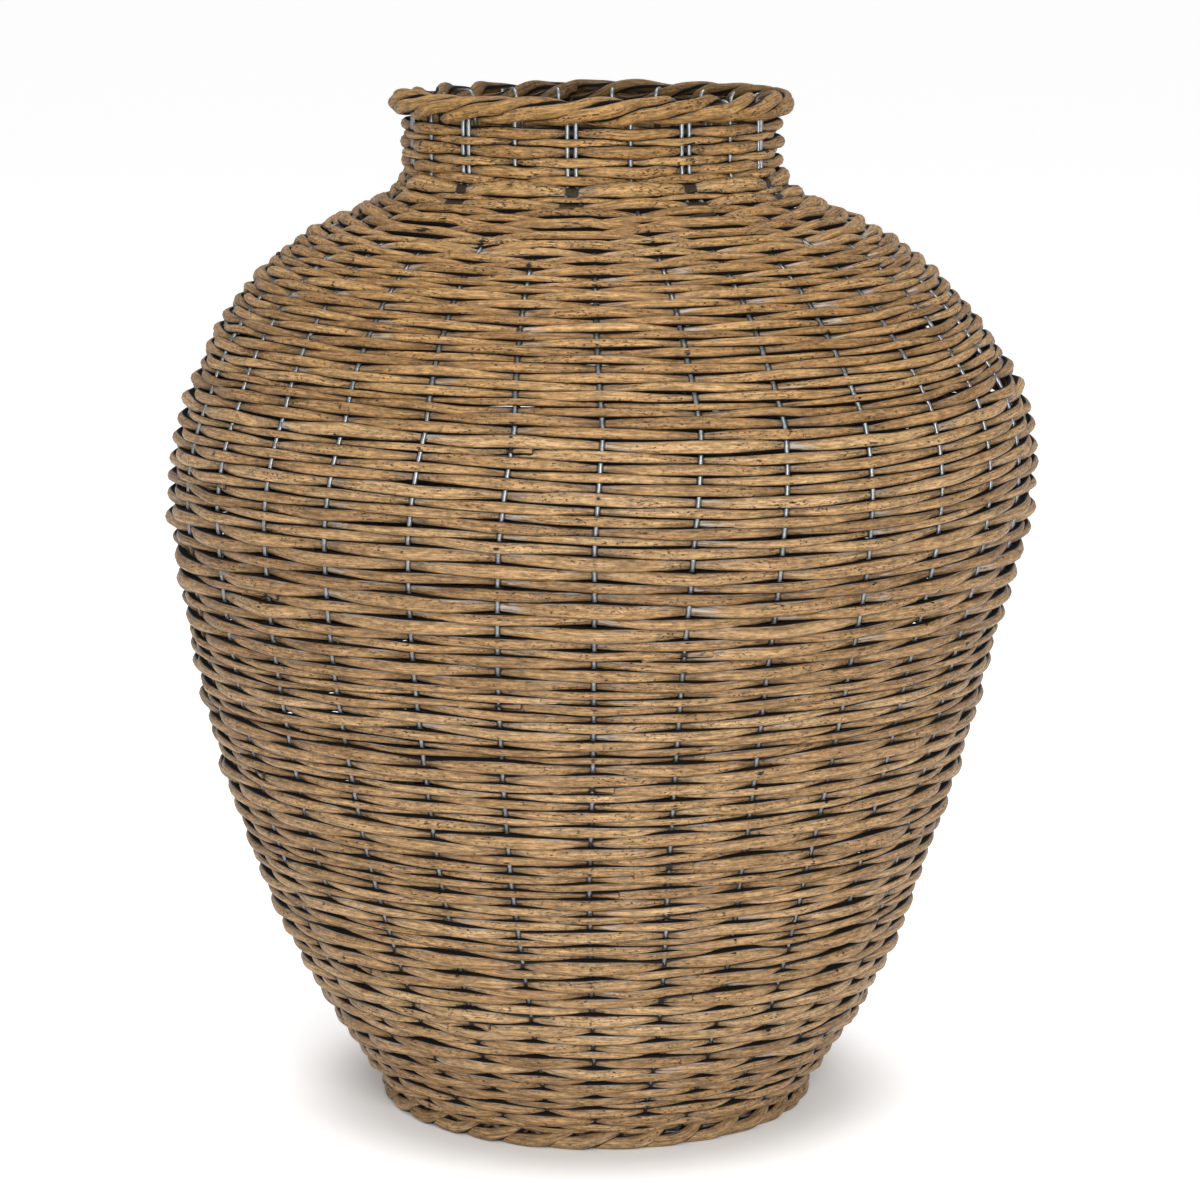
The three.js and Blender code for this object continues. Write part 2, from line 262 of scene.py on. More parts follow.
def facing_out(out_r, out_z, angle):
    """Directions in space from their radial and upward parts."""
    return np.stack(np.broadcast_arrays(out_r * np.sin(angle), -out_r * np.cos(angle), out_z), axis=-1)


def smooth_step(x):
    x = np.clip(x, 0, 1)
    return x * x * (3 - 2 * x)


# Stakes

half_pair = PAIR_SPACING / 2 / NECK_RADIUS
stake_bias = rng.uniform(-1, 1, STAKES)
stake_phase = rng.uniform(0, TURN, STAKES)


def stake_angle(stake, along):
    """Angle of a stake at distances along the wall: evenly spaced below, singles and pairs at the neck."""
    group, member = divmod(stake, 3)
    body = TURN * (stake + 1) / STAKES
    pair = TURN * (3 * group + 2.5) / STAKES
    closed_up = (TURN * (3 * group + 1) / STAKES, pair - half_pair, pair + half_pair)[member]
    share = smooth_step((along - shoulder_along) / (neck_along - shoulder_along))
    sway = 0.6 * stake_bias[stake] + 0.4 * np.sin(TURN * along / 0.33 + stake_phase[stake])
    return body + (closed_up - body) * share + STAKE_SWAY * sway * (1 - 0.7 * share)


def rim_point(phase):
    """Radius and height of a rim rod whose phase is given: outermost at 0, inmost at half a turn."""
    reach = 2 * HOOK_RADIUS / (1 + math.cos(TURN / 6 + TURN * half_pair / (TURN * 3 / (2 * GROUPS))))
    return NECK_RADIUS - HOOK_RADIUS + reach * (1 + np.cos(phase)), rim_middle + RIM_LIFT * np.sin(phase)


# Turning strands of points into meshes

END_STEPS = np.array([0.16, 0.24, 0.26])
END_SIZES = np.array([0.9, 0.62, 0.0])
END_RINGS = len(END_STEPS)


def closed_ends(points, radii):
    """Adds small rounded ends to a strand, so that its tube closes."""
    def end_rings(end, inner, radius):
        direction = end - inner
        direction = direction / np.linalg.norm(direction)
        return end + direction * radius * END_STEPS[:, None], radius * END_SIZES

    first, first_radii = end_rings(points[0], points[1], radii[0])
    last, last_radii = end_rings(points[-1], points[-2], radii[-1])
    return (
        np.concatenate([first[::-1], points, last]),
        np.concatenate([first_radii[::-1], radii, last_radii]),
    )


def strand_mesh(name, rods, sides, upright):
    """One mesh of round strands: a bevelled curve made a mesh, with its grain and tone kept on it."""
    bpy.ops.object.select_all(action="DESELECT")
    bpy.ops.curve.primitive_bezier_curve_add(radius=1, location=(0, 0, 0))
    piece = bpy.context.object
    piece.name = name
    curve = piece.data
    curve.splines.clear()
    curve.dimensions = "3D"
    curve.twist_mode = "Z_UP" if upright else "MINIMUM"
    curve.bevel_depth = 1
    curve.bevel_resolution = (sides - 4) // 2
    curve.use_fill_caps = False

    grain, looks, rings = [], [], []
    around = TURN * np.arange(sides) / sides
    for rod in rods:
        points, radii = closed_ends(rod.points, rod.radii)
        count = len(rod.points)
        spline = curve.splines.new("POLY")
        spline.points.add(len(points) - 1)
        spline.points.foreach_set("co", np.c_[points, np.ones(len(points))].ravel())
        spline.points.foreach_set("radius", radii)

        steps = np.linalg.norm(np.diff(points, axis=0), axis=1)
        along = np.concatenate([[0], np.cumsum(steps)]) + rng.uniform(0, 50)
        ring = np.empty((len(points), sides, 3))
        ring[..., 0] = along[:, None]
        ring[..., 1] = radii[:, None] * np.cos(around)
        ring[..., 2] = radii[:, None] * np.sin(around)
        grain.append(ring.reshape(-1, 3))
        shown = (rod.tone, rod.bow, rod.near, rod.pale)
        inner = np.stack([np.broadcast_to(value, count) for value in shown])
        inner = np.pad(inner, ((0, 0), (END_RINGS, END_RINGS)), mode="edge")
        cut = np.pad(np.zeros(count), END_RINGS, constant_values=1)
        looks.append(np.repeat(np.concatenate([inner, cut[None]]), sides, axis=1))
        out = np.pad(np.broadcast_to(rod.out, (count, 3)), ((END_RINGS, END_RINGS), (0, 0)), mode="edge")
        rings.append(np.repeat(np.c_[points, np.maximum(radii, 1e-5), out], sides, axis=0))

    bpy.ops.object.convert(target="MESH")
    piece = bpy.context.object
    mesh = piece.data
    mesh.name = name
    corners = np.empty(len(mesh.vertices) * 3)
    mesh.vertices.foreach_get("co", corners)
    rings = np.concatenate(rings)
    across = (corners.reshape(-1, 3) - rings[:, :3]) / rings[:, 3:4]
    front = (across * rings[:, 4:]).sum(axis=1)

    attribute = mesh.attributes.new("grain", "FLOAT_VECTOR", "POINT")
    attribute.data.foreach_set("vector", np.concatenate(grain).astype(np.float32).ravel())
    looks = np.concatenate(looks, axis=1)
    for label, values in zip(("tone", "bow", "near", "pale", "cut", "front"), (*looks, front)):
        attribute = mesh.attributes.new(label, "FLOAT", "POINT")
        attribute.data.foreach_set("value", values.astype(np.float32))

    bpy.ops.object.mode_set(mode="EDIT")
    bpy.ops.mesh.select_all(action="SELECT")
    bpy.ops.mesh.remove_doubles(threshold=1e-6)
    bpy.ops.mesh.normals_make_consistent(inside=False)
    bpy.ops.object.mode_set(mode="OBJECT")
    bpy.ops.object.shade_smooth()
    return piece


def dress(piece, material, slot, *nodes):
    piece.data.materials.clear()
    piece.data.materials.append(material)
    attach(piece, "root")
    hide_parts(*nodes)


# Materials

class Nodes:
    """Builds one node material: add() makes a node, with values or links given by socket name."""

    def __init__(self, name):
        self.material = bpy.data.materials.new(name)
        self.material.use_nodes = True
        self.tree = self.material.node_tree
        self.tree.nodes.clear()

    def add(self, kind, inputs=None, **settings):
        node = self.tree.nodes.new("ShaderNode" + kind)
        for key, value in settings.items():
            setattr(node, key, value)
        for socket, value in (inputs or {}).items():
            if isinstance(value, bpy.types.NodeSocket):
                self.tree.links.new(value, node.inputs[socket])
            else:
                node.inputs[socket].default_value = value
        return node

    def attribute(self, name, output):
        return self.add("Attribute", attribute_name=name).outputs[output]

    def noise(self, vector, scale, detail=2.0, rough=0.55, stretch=(1, 1, 1)):
        mapped = self.add("Mapping", {"Vector": vector, "Scale": stretch}).outputs["Vector"]
        given = {"Vector": mapped, "Scale": scale, "Detail": detail, "Roughness": rough}
        return self.add("TexNoise", given).outputs["Fac"]

    def ranged(self, value, low, high, to_low=0.0, to_high=1.0):
        given = {"Value": value, "From Min": low, "From Max": high, "To Min": to_low, "To Max": to_high}
        return self.add("MapRange", given, interpolation_type="SMOOTHSTEP").outputs["Result"]

    def math(self, operation, a, b):
        return self.add("Math", {0: a, 1: b}, operation=operation).outputs[0]

    def mix(self, factor, a, b, blend="MIX"):
        node = self.add("Mix", {0: factor, 6: a, 7: b}, data_type="RGBA", blend_type=blend)
        return node.outputs[2]

    def ramp(self, value, *stops):
        node = self.add("ValToRGB", {"Fac": value})
        for place, colour in stops[1:-1]:
            node.color_ramp.elements.new(place).color = (*colour, 1)
        ends = node.color_ramp.elements
        for element, (place, colour) in ((ends[0], stops[0]), (ends[len(ends) - 1], stops[-1])):
            element.position = place
            element.color = (*colour, 1)
        return node.outputs["Color"]

    def finish(self, shader):
        self.add("OutputMaterial", {"Surface": shader.outputs[0]})
        return self.material


def willow(name, dark, middle, light, inner=1.0):
    """Stained willow: lengthwise grain, specks, cracks at the wires and pale worn places, which are partly a
    painted reflection, with a painted highlight along upper edges and painted shade: on faces turned to the
    axis (inner is the share of colour they keep), beside the wires, towards the creases and near black in
    them.
    """
    n = Nodes(name)
    grain = n.attribute("grain", "Vector")
    tone = n.attribute("tone", "Fac")
    bow = n.attribute("bow", "Fac")
    near = n.attribute("near", "Fac")
    pale = n.attribute("pale", "Fac")
    cut = n.attribute("cut", "Fac")
    front = n.attribute("front", "Fac")

    patches = n.noise(grain, 1, detail=3, stretch=(40, 260, 260))
    streaks = n.noise(grain, 1, detail=4, rough=0.7, stretch=(45, 1400, 1400))
    mottle = n.noise(grain, 1, detail=3, rough=0.7, stretch=(210, 800, 800))
    speckle = n.noise(grain, 1, detail=2, stretch=(520, 1300, 1300))
    clusters = n.noise(grain, 1, detail=1, stretch=(34, 120, 120))
    jags = n.noise(grain, 1, detail=2, rough=0.7, stretch=(60, 700, 700))

    own = n.math("ADD", n.math("MULTIPLY", tone, 0.5), n.math("MULTIPLY", patches, 0.65))
    colour = n.ramp(own, (0.2, dark), (0.55, middle), (0.95, light))
    colour = n.mix(1.0, colour, n.ranged(streaks, 0.34, 0.66, 1.22, 0.60), "MULTIPLY")
    colour = n.mix(1.0, colour, n.ranged(mottle, 0.34, 0.66, 0.67, 1.35), "MULTIPLY")

    facing = n.add("NewGeometry").outputs["Normal"]
    upward = n.add("SeparateXYZ", {0: facing}).outputs["Z"]
    place = n.add("TexCoord").outputs["Object"]
    level = n.add("SeparateXYZ", {0: place}).outputs["Z"]
    warmth = n.mix(n.ranged(level, 0.30, 0.43), (1.0, 1.03, 1.20, 1), (1.09, 1.05, 1.0, 1))
    colour = n.mix(1.0, colour, warmth, "MULTIPLY")

    # Painted shade: faces turned towards the axis keep only the share inner of their colour.
    from_axis = n.add("VectorMath", {0: place, 1: (1, 1, 0)}, operation="MULTIPLY").outputs[0]
    from_axis = n.add("VectorMath", {0: from_axis}, operation="NORMALIZE").outputs[0]
    outward = n.add("VectorMath", {0: facing, 1: from_axis}, operation="DOT_PRODUCT").outputs["Value"]
    colour = n.mix(1.0, colour, n.ranged(outward, 0.1, -0.6, 1.0, inner), "MULTIPLY")

    speckle = n.math("ADD", speckle, n.ranged(level, 0.40, 0.46, 0.0, 0.03))
    specks = n.math("MULTIPLY", n.ranged(speckle, 0.59, 0.65), n.ranged(clusters, 0.38, 0.58, 0.25, 1.0))
    colour = n.mix(n.math("MULTIPLY", specks, 0.9), colour, (0.014, 0.010, 0.008, 1))

    exposed = n.math("ADD", front, n.math("MULTIPLY", bow, n.ranged(level, 0.20, 0.30, 0.26, 0.24)))
    # Painted highlight: a cool grey line along the upper edges of rods, weaker higher up.
    edge = n.math("MULTIPLY", n.ranged(exposed, 0.88, 0.64), n.ranged(upward, 0.25, 0.5))
    edge = n.math("MULTIPLY", edge, n.ranged(level, 0.20, 0.40, 1.0, 0.3))
    painted_top_highlight = n.math("MULTIPLY", edge, n.ranged(jags, 0.45, 0.58, 0.0, 0.65))
    colour = n.mix(painted_top_highlight, colour, (0.39, 0.41, 0.44, 1))
    # Pale patches where a rod comes out from behind a wire: partly wear, partly a painted reflection.
    wear_and_reflection = n.math("MULTIPLY", pale, n.ranged(jags, 0.44, 0.60, 0.0, 0.85))
    colour = n.mix(wear_and_reflection, colour, (0.42, 0.40, 0.38, 1))

    bend = n.math("ADD", near, n.math("MULTIPLY", jags, 0.009))
    crack = n.math("MULTIPLY", n.ranged(bend, 0.0050, 0.0042), n.ranged(bow, 0.5, 0.8))
    crack = n.math("MULTIPLY", crack, n.ranged(patches, 0.57, 0.60))
    colour = n.mix(crack, colour, (0.012, 0.009, 0.007, 1))
    # Painted shadow: a dark line on a rod right beside a wire it goes behind.
    wire_shadow = n.math("MULTIPLY", n.ranged(near, 0.0023, 0.0012), n.ranged(bow, -0.5, -0.8, 0.0, 0.9))
    colour = n.mix(wire_shadow, colour, (0.012, 0.009, 0.007, 1))
    sloped = n.math("MULTIPLY", n.ranged(level, 0.35, 0.42), n.ranged(level, 0.43, 0.458, 1.0, 0.3))
    # Painted shade: rods darkened towards the edges where they meet their neighbours, more on the low rows
    # and at the neck, and a little lightened at the crown.
    shaded = n.math("SUBTRACT", exposed, n.ranged(level, 0.20, 0.30, 0.11, 0.03))
    shaded = n.math("SUBTRACT", shaded, n.ranged(level, 0.455, 0.468, 0.0, 0.06))
    colour = n.mix(1.0, colour, n.ranged(shaded, 0.60, 0.90, 0.75, 1.07), "MULTIPLY")
    shaded = n.math("ADD", shaded, n.math("MULTIPLY", sloped, 0.08))
    # Painted shade: near black in the creases between rods, except on faces turned inwards.
    crease_shade = n.ranged(shaded, 0.63, 0.51)
    crease_shade = n.math("MULTIPLY", crease_shade, n.ranged(front, -0.7, -0.3, 0.0, 1.0))
    colour = n.mix(crease_shade, colour, (0.004, 0.003, 0.0025, 1))
    colour = n.mix(n.math("MULTIPLY", cut, 0.8), colour, (0.04, 0.03, 0.02, 1))

    rough = n.ranged(streaks, 0.3, 0.7, 0.38, 0.62)
    rough = n.math("MAXIMUM", rough, n.ranged(exposed, 0.58, 0.44))
    height = n.math("SUBTRACT", n.math("MULTIPLY", streaks, -0.6), n.math("MULTIPLY", specks, 0.9))
    height = n.math("SUBTRACT", height, n.math("MULTIPLY", crack, 1.4))
    bump = n.add("Bump", {"Height": height, "Strength": 0.6, "Distance": 0.00035})
    shader = n.add("BsdfPrincipled", {
        "Base Color": colour,
        "Roughness": rough,
        "Specular IOR Level": 0.16,
        "Normal": bump.outputs["Normal"],
    })
    return n.finish(shader)


def galvanised(name):
    """Zinc-coated wire: mottled grey metal with dark spots."""
    n = Nodes(name)
    place = n.add("TexCoord").outputs["Object"]
    mottle = n.noise(place, 420, detail=3, rough=0.65)
    spots = n.noise(place, 1300, detail=2)
    dull, middle, bright = (0.13, 0.138, 0.144), (0.22, 0.231, 0.241), (0.37, 0.387, 0.403)
    colour = n.ramp(mottle, (0.30, dull), (0.55, middle), (0.75, bright))
    colour = n.mix(n.ranged(spots, 0.62, 0.72, 0.0, 0.6), colour, (0.05, 0.05, 0.05, 1))
    bump = n.add("Bump", {"Height": mottle, "Strength": 0.25, "Distance": 0.0002})
    shader = n.add("BsdfPrincipled", {
        "Base Color": colour,
        "Metallic": 0.82,
        "Roughness": n.ranged(mottle, 0.3, 0.7, 0.28, 0.46),
        "Normal": bump.outputs["Normal"],
    })
    return n.finish(shader)


wall_willow = willow("wall_willow", (0.137, 0.073, 0.027), (0.238, 0.137, 0.053), (0.310, 0.197, 0.087))
# The rim's faces turned to the axis keep 0.45 of their colour: painted shade.
rim_willow = willow("rim_willow", (0.127, 0.068, 0.024), (0.216, 0.123, 0.043), (0.292, 0.182, 0.074), 0.45)
foot_willow = willow("foot_willow", (0.122, 0.066, 0.026), (0.210, 0.123, 0.049), (0.280, 0.180, 0.082))
base_willow = willow("base_willow", (0.115, 0.063, 0.025), (0.195, 0.114, 0.046), (0.265, 0.168, 0.076))
wire_steel = galvanised("wire_steel")


# Wires

def make_stake(stake):
    along = np.arange(0, rim_base_along, STAKE_STEP)
    radius, height, _, _ = on_wall(along)
    angle = stake_angle(stake, along)
    top_angle = float(stake_angle(stake, np.array(rim_base_along)))
    points = [in_space(radius, height, angle)]

    if stake % 3 == 2:
        points.append(in_space(NECK_RADIUS, np.array([rim_middle, HEIGHT - STUB_DROP]), top_angle))
    else:
        bend = np.linspace(0, math.pi, HOOK_STEPS)
        bend_radius = NECK_RADIUS - HOOK_RADIUS * (1 - np.cos(bend))
        points.append(in_space(bend_radius, rim_middle + HOOK_RADIUS * np.sin(bend), top_angle))
        points.append(in_space(NECK_RADIUS - 2 * HOOK_RADIUS, rim_middle - HOOK_ENDS, top_angle))

    line = np.concatenate(points)
    wire = Rod(line, np.full(len(line), WIRE / 2), 0.5, facing_out(1.0, 0.0, top_angle))
    piece = strand_mesh(f"wire_stake_{stake + 1:02d}", [wire], WIRE_SIDES, upright=False)
    dress(piece, wire_steel, "wire_steel", f"stake_{stake + 1:02d}")


# Rows of the wall: what thickness of rod lies where, and so how high each row runs

Row = namedtuple("Row", "kind side joins rods")
Laid = namedtuple("Laid", "start end butt tip tone")

grid_angles = TURN * np.arange(GRID) / GRID


def on_grid(values, angle):
    return np.interp(angle, np.append(grid_angles, TURN), np.append(values, values[0]), period=TURN)


def softened(values, width):
    """The values round the turn, blurred by a bell of that width in radians."""
    apart = np.minimum(grid_angles, TURN - grid_angles)
    bell = np.exp(-((apart / width) ** 2))
    return np.fft.irfft(np.fft.rfft(values) * np.fft.rfft(bell / bell.sum()), GRID)


def hump(middle, width):
    """A bell round the turn at an angle."""
    apart = np.abs((grid_angles - middle + math.pi) % TURN - math.pi)
    return np.exp(-((apart / width) ** 2))


def column_edges(kind, along):
    """Angles where a rod meets and leaves each column of wires: single stakes, or pairs at the neck."""
    angles = np.array([stake_angle(stake, along) for stake in range(STAKES)])
    if kind == "wall":
        return angles, angles
    by_group = angles.reshape(GROUPS, 3)
    return by_group[:, :2].ravel(), by_group[:, [0, 2]].ravel()


def weave_round(row, along, start, end):
    """Where a rod is drawn from start to end, and how it lies there.

    Gives the angles, the bow (1 outside a column of wires, -1 inside the next), the angle to the nearest
    wire, and how much a place is one where the rod comes out from behind a wire.
    """
    meets, leaves = column_edges(row.kind, along)
    turns = np.arange(-2, 4)
    meets = (meets + TURN * turns[:, None]).ravel()
    leaves = (leaves + TURN * turns[:, None]).ravel()
    phases = math.pi * np.arange(len(meets))
    between = leaves[:-1, None] + (meets[1:] - leaves[:-1])[:, None] * DRAWN_AT
    angle = np.unique(np.concatenate([meets, leaves, between.ravel(), [start, end]]))
    angle = angle[(angle >= start) & (angle <= end)]

    knots = np.stack([meets, leaves], axis=1).ravel()
    phase = np.interp(angle, knots, np.repeat(phases, 2))
    bow = row.side * 0.869 * (np.cos(phase) + np.cos(3 * phase) / 9 + np.cos(5 * phase) / 25)
    bow = bow + np.interp(along, SPRING_PLACES, SPRING) * (1 - bow ** 2)
    near = np.maximum(meets - angle[:, None], angle[:, None] - leaves).clip(0).min(axis=1)
    last = np.searchsorted(leaves, angle, side="right") - 1
    hidden = row.side * np.cos(phases[last]) < 0
    return angle, bow, near, np.where(hidden, angle - leaves[last], 1)


def lay_row(kind, along, mean, number):
    """The rods of one row, head to tail, each from a butt hidden inside to a tip cut off outside."""
    side = 1 if number % 2 == 0 else -1
    meets, leaves = column_edges(kind, along)
    count = len(meets)
    radius = float(on_wall(along)[0])
    laid = max(1, round(TURN * radius / ROD_LENGTH))
    shown = rng.random() < SHOWN_JOINS
    from_front = rng.uniform(-0.5, 0.5) + (0 if shown else 1)
    first = 2 * round(from_front * count / 4) + (1 if side > 0 else 0)
    step = count / laid
    columns = [(first + 2 * round(step * i / 2 + rng.uniform(-1, 1) * (laid > 1))) for i in range(laid)]
    columns.append(columns[0] + count)

    def angle_of(column):
        turn, place = divmod(column, count)
        return meets[place] + TURN * turn

    rods = []
    for begin, end in zip(columns, columns[1:]):
        uneven = float(np.interp(along, (0.15, 0.26), (0.18, 0.13)))
        size = mean * float(np.clip(rng.normal(1, uneven), 0.66, 1.32))
        rods.append(Laid(
            angle_of(begin) - 0.45 * TURN / count,
            angle_of(end) + CUT_PAST_WIRE * rng.uniform(0.8, 1.25) / radius,
            size * BUTT_SHARE,
            size * TIP_SHARE,
            float(rng.beta(2.2, 2.2)),
        ))
    return Row(kind, side, [angle_of(column) for column in columns], rods)


def row_thickness(row):
    """Thickness of a row round the turn, softened where one rod takes over from the next."""
    thick = np.empty(GRID)
    for join, next_join, rod in zip(row.joins, row.joins[1:], row.rods):
        past = (grid_angles - join) % TURN
        here = past < next_join - join
        share = (join + past - rod.start) / (rod.end - rod.start)
        thick[here] = (rod.butt + (rod.tip - rod.butt) * share)[here]
    for join, rod in zip(row.joins, row.rods):
        thick += 0.35 * rod.tip * hump(join, 0.06)
    return softened(thick, math.radians(2.5))


def mean_rod(along):
    """Mean thickness of the wall's rods at a distance along it."""
    return float(np.interp(along, ROD_PLACES, WALL_ROD))


def lay_rows():
    rows, along = [], ROWS_FROM
    while along < shoulder_along:
        mean = mean_rod(along)
        rows.append(lay_row("wall", along, mean, len(rows)))
        along += mean
    for _ in range(THROAT_ROWS):
        rows.append(lay_row("throat", along, THROAT_ROD, len(rows)))
        along += THROAT_ROD
    for _ in range(NECK_ROWS):
        # Column 0 is a single wire: the thick rods go outside it, and the thin ones outside the pairs.
        mean = NECK_THICK_ROD if len(rows) % 2 == 0 else NECK_THIN_ROD
        along = min(along, rim_base_along)
        rows.append(lay_row("neck", along, mean, len(rows)))
        along += mean
    return rows


def gap_over(row):
    """Open slits over a row: small ones here and there, and now and then a wide one."""
    gap = np.zeros(GRID)
    if row.kind != "wall":
        return gap
    for _ in range(rng.poisson(SLITS_PER_ROW)):
        size = min(SLIT_LEAST + rng.exponential(SLIT_MEAN), SLIT_MOST)
        middle = rng.uniform(0, TURN)
        size *= SLIT_SHARE_BEHIND if math.cos(middle) < -0.2 else 1
        gap += size * hump(middle, math.radians(rng.uniform(4, 8)))
    return gap


def sway(angle, along):
    """A slow rise and fall that neighbouring rows share."""
    at_belly = np.exp(-(((along - 0.36) / 0.07) ** 2))
    slow = 0.0009 * np.sin(2 * angle + along / 0.09) + 0.0006 * np.sin(5 * angle - along / 0.06 + 1.3)
    return slow - 0.0030 * at_belly * np.sin(3 * angle)


def wobble(angle, size):
    """Small crooks of one rod."""
    total = np.zeros_like(angle)
    for waves in (7, 13, 22, 31):
        total += rng.normal(0, 1) * np.sin(waves * angle + rng.uniform(0, TURN)) / math.sqrt(waves / 7)
    return size * total


def woven_rods(row, centre, scale):
    """The rods of a row as strands, in and out of the wires."""
    mean_along = float(centre.mean())
    radius_here = float(on_wall(mean_along)[0])
    snug = float(np.interp(mean_along, SNUG_PLACES, SNUG))
    tuck = float(np.interp(mean_along, TUCK_PLACES, TUCK))
    nest = float(np.interp(mean_along, NEST_PLACES, NEST))
    strands = []
    for rod in row.rods:
        angle, bow, near, past = weave_round(row, mean_along, rod.start, rod.end)
        share = (angle - rod.start) / (rod.end - rod.start)
        thick = snug * (rod.butt + (rod.tip - rod.butt) * share) * on_grid(scale, angle)
        thick *= 1 + 0.05 * wobble(angle, 0.5)
        # Pale patches just past a wire, where the rod comes out from behind it: partly wear, partly a
        # painted reflection.
        emerged = past * radius_here
        pale = smooth_step(emerged / 0.0015) * (1 - smooth_step(emerged / 0.018))
        pale *= (1.0 if rng.random() < WEAR_AND_REFLECTION_SHARE else 0.2) if row.kind == "wall" else 0.2
        pale *= 1 - smooth_step((angle - rod.end) * radius_here / 0.02 + 1)

        # The tip comes out over the next rod's butt, which stays inside and a little lower.
        tip_lift = smooth_step((angle - rod.end) * radius_here / 0.022 + 1)
        butt_drop = 1 - smooth_step((angle - rod.start) * radius_here / 0.045)
        along = on_grid(centre, angle) + wobble(angle, CROOKS[row.kind])
        along += thick * (nest * bow + TIP_RISE_SHARE * tip_lift - BUTT_DROP_SHARE * butt_drop)
        out = tuck * bow * (thick + WIRE) / 2 + STUB_LIFT * tip_lift - BUTT_SINK * butt_drop
        out += wobble(angle, 0.00018)

        radius, height, out_r, out_z = on_wall(along)
        points = in_space(radius + out * out_r, height + out * out_z, angle)
        facing = facing_out(out_r, out_z, angle)
        strands.append(Rod(points, thick / 2, rod.tone, facing, bow, near * radius_here, pale))
    return strands


def course_name(along):
    """The course of the frame that a row at this distance along the wall stands in."""
    if along >= neck_along:
        return "neck_course"
    if along >= shoulder_along:
        return "throat_course"
    if along < belly_along:
        course = int((along - FOOT_WALE) / (belly_along - FOOT_WALE) * LOWER_COURSES)
    else:
        course = LOWER_COURSES + int((along - belly_along) / (shoulder_along - belly_along) * UPPER_COURSES)
    return f"wall_course_{course + 1:02d}"


def levelled(centres):
    """Rows beaten level: a thick rod or a slit moves only the next few rows, and slow swells stay small."""
    mean = centres.mean(axis=1, keepdims=True)
    swell = np.array([softened(row, SWELL_WIDTH) for row in centres - mean])
    local = centres - mean - swell
    number = np.arange(len(centres))
    weights = np.exp(-(((number[:, None] - number) / LEVEL_ROWS) ** 2))
    weights /= weights.sum(axis=1, keepdims=True)
    return mean + SWELL_SHARE * swell + local - weights @ local


def make_wall():
    rows = lay_rows()
    thick = np.array([row_thickness(row) for row in rows])
    gaps = np.array([gap_over(row) for row in rows])
    tops = np.cumsum(thick + gaps, axis=0)
    scale = (rim_base_along - ROWS_FROM) / tops[-1]
    centres = levelled(ROWS_FROM + (tops - gaps - thick / 2) * scale)
    courses = {}
    for row, centre in zip(rows, centres):
        centre = centre + sway(grid_angles, centre) * np.sin(math.pi * centre.mean() / rim_base_along)
        courses.setdefault(course_name(float(centre.mean())), []).extend(woven_rods(row, centre, scale))
    for node, strands in courses.items():
        piece = strand_mesh("woven_" + node, strands, ROD_SIDES, upright=True)
        dress(piece, wall_willow, "wall_willow", node)


# Rim and foot: three rods wound round each other and the wires

def wale_phase(angle, lay, rod):
    """Phase of one of three rods round the others: longer in front, and quickly round behind a wire."""
    turned = TURN * angle / lay + math.pi + TURN * rod / 3 + 0.12 * wobble(angle, 1)
    return turned - WALE_DWELL * np.sin(turned)


def make_rim():
    lay = TURN * 3 / (2 * GROUPS)
    start = float(stake_angle(0, np.array(rim_base_along))) + math.pi
    for rod in range(3):
        angle = np.linspace(-0.10, TURN + 0.06, WALE_STEPS)
        phase = wale_phase(angle, lay, rod)
        share = angle / TURN
        thick = RIM_ROD * (1.05 - 0.1 * share) * (1 + 0.03 * wobble(angle, 1))
        radius, height = rim_point(phase)
        radius = radius + wobble(angle, 0.0003)
        height = height + RIM_RISE + wobble(angle, 0.0003)
        points = in_space(radius, height, start + angle)
        facing = facing_out(np.cos(phase), np.sin(phase), start + angle)
        strand = Rod(points, thick / 2, float(rng.uniform(0.3, 0.6)), facing, RIM_BOW)
        piece = strand_mesh(f"rim_strand_{rod + 1}", [strand], WALE_SIDES, upright=True)
        dress(piece, rim_willow, "rim_willow", f"rim_rod_{rod + 1}")


def make_foot():
    lay = TURN * 3 / STAKES
    strands = []
    for rod in range(3):
        angle = np.linspace(-0.05, TURN + 0.05, WALE_STEPS)
        phase = wale_phase(angle, lay, rod)
        thick = FOOT_ROD * (1.05 - 0.1 * angle / TURN) * (1 + 0.04 * wobble(angle, 1))
        radius, height, out_r, out_z = on_wall(np.full_like(angle, FOOT_SEAT))
        out = FOOT_REACH * np.cos(phase)
        up = FOOT_LIFT * np.sin(phase)
        radius = radius + out * out_r - up * out_z
        height = np.maximum(height + out * out_z + up * out_r, thick / 2)
        place = stake_angle(0, np.array(0.0)) + math.pi + angle
        points = in_space(radius, height, place)
        facing = facing_out(np.cos(phase), np.sin(phase), place)
        strands.append(Rod(points, thick / 2, float(rng.uniform(0.3, 0.6)), facing, FOOT_BOW))
    piece = strand_mesh("foot_strands", strands, WALE_SIDES, upright=True)
    dress(piece, foot_willow, "foot_willow", "foot_wale_outer", "foot_wale_inner")


# Base: crossed sticks that fan out, with rods woven round them

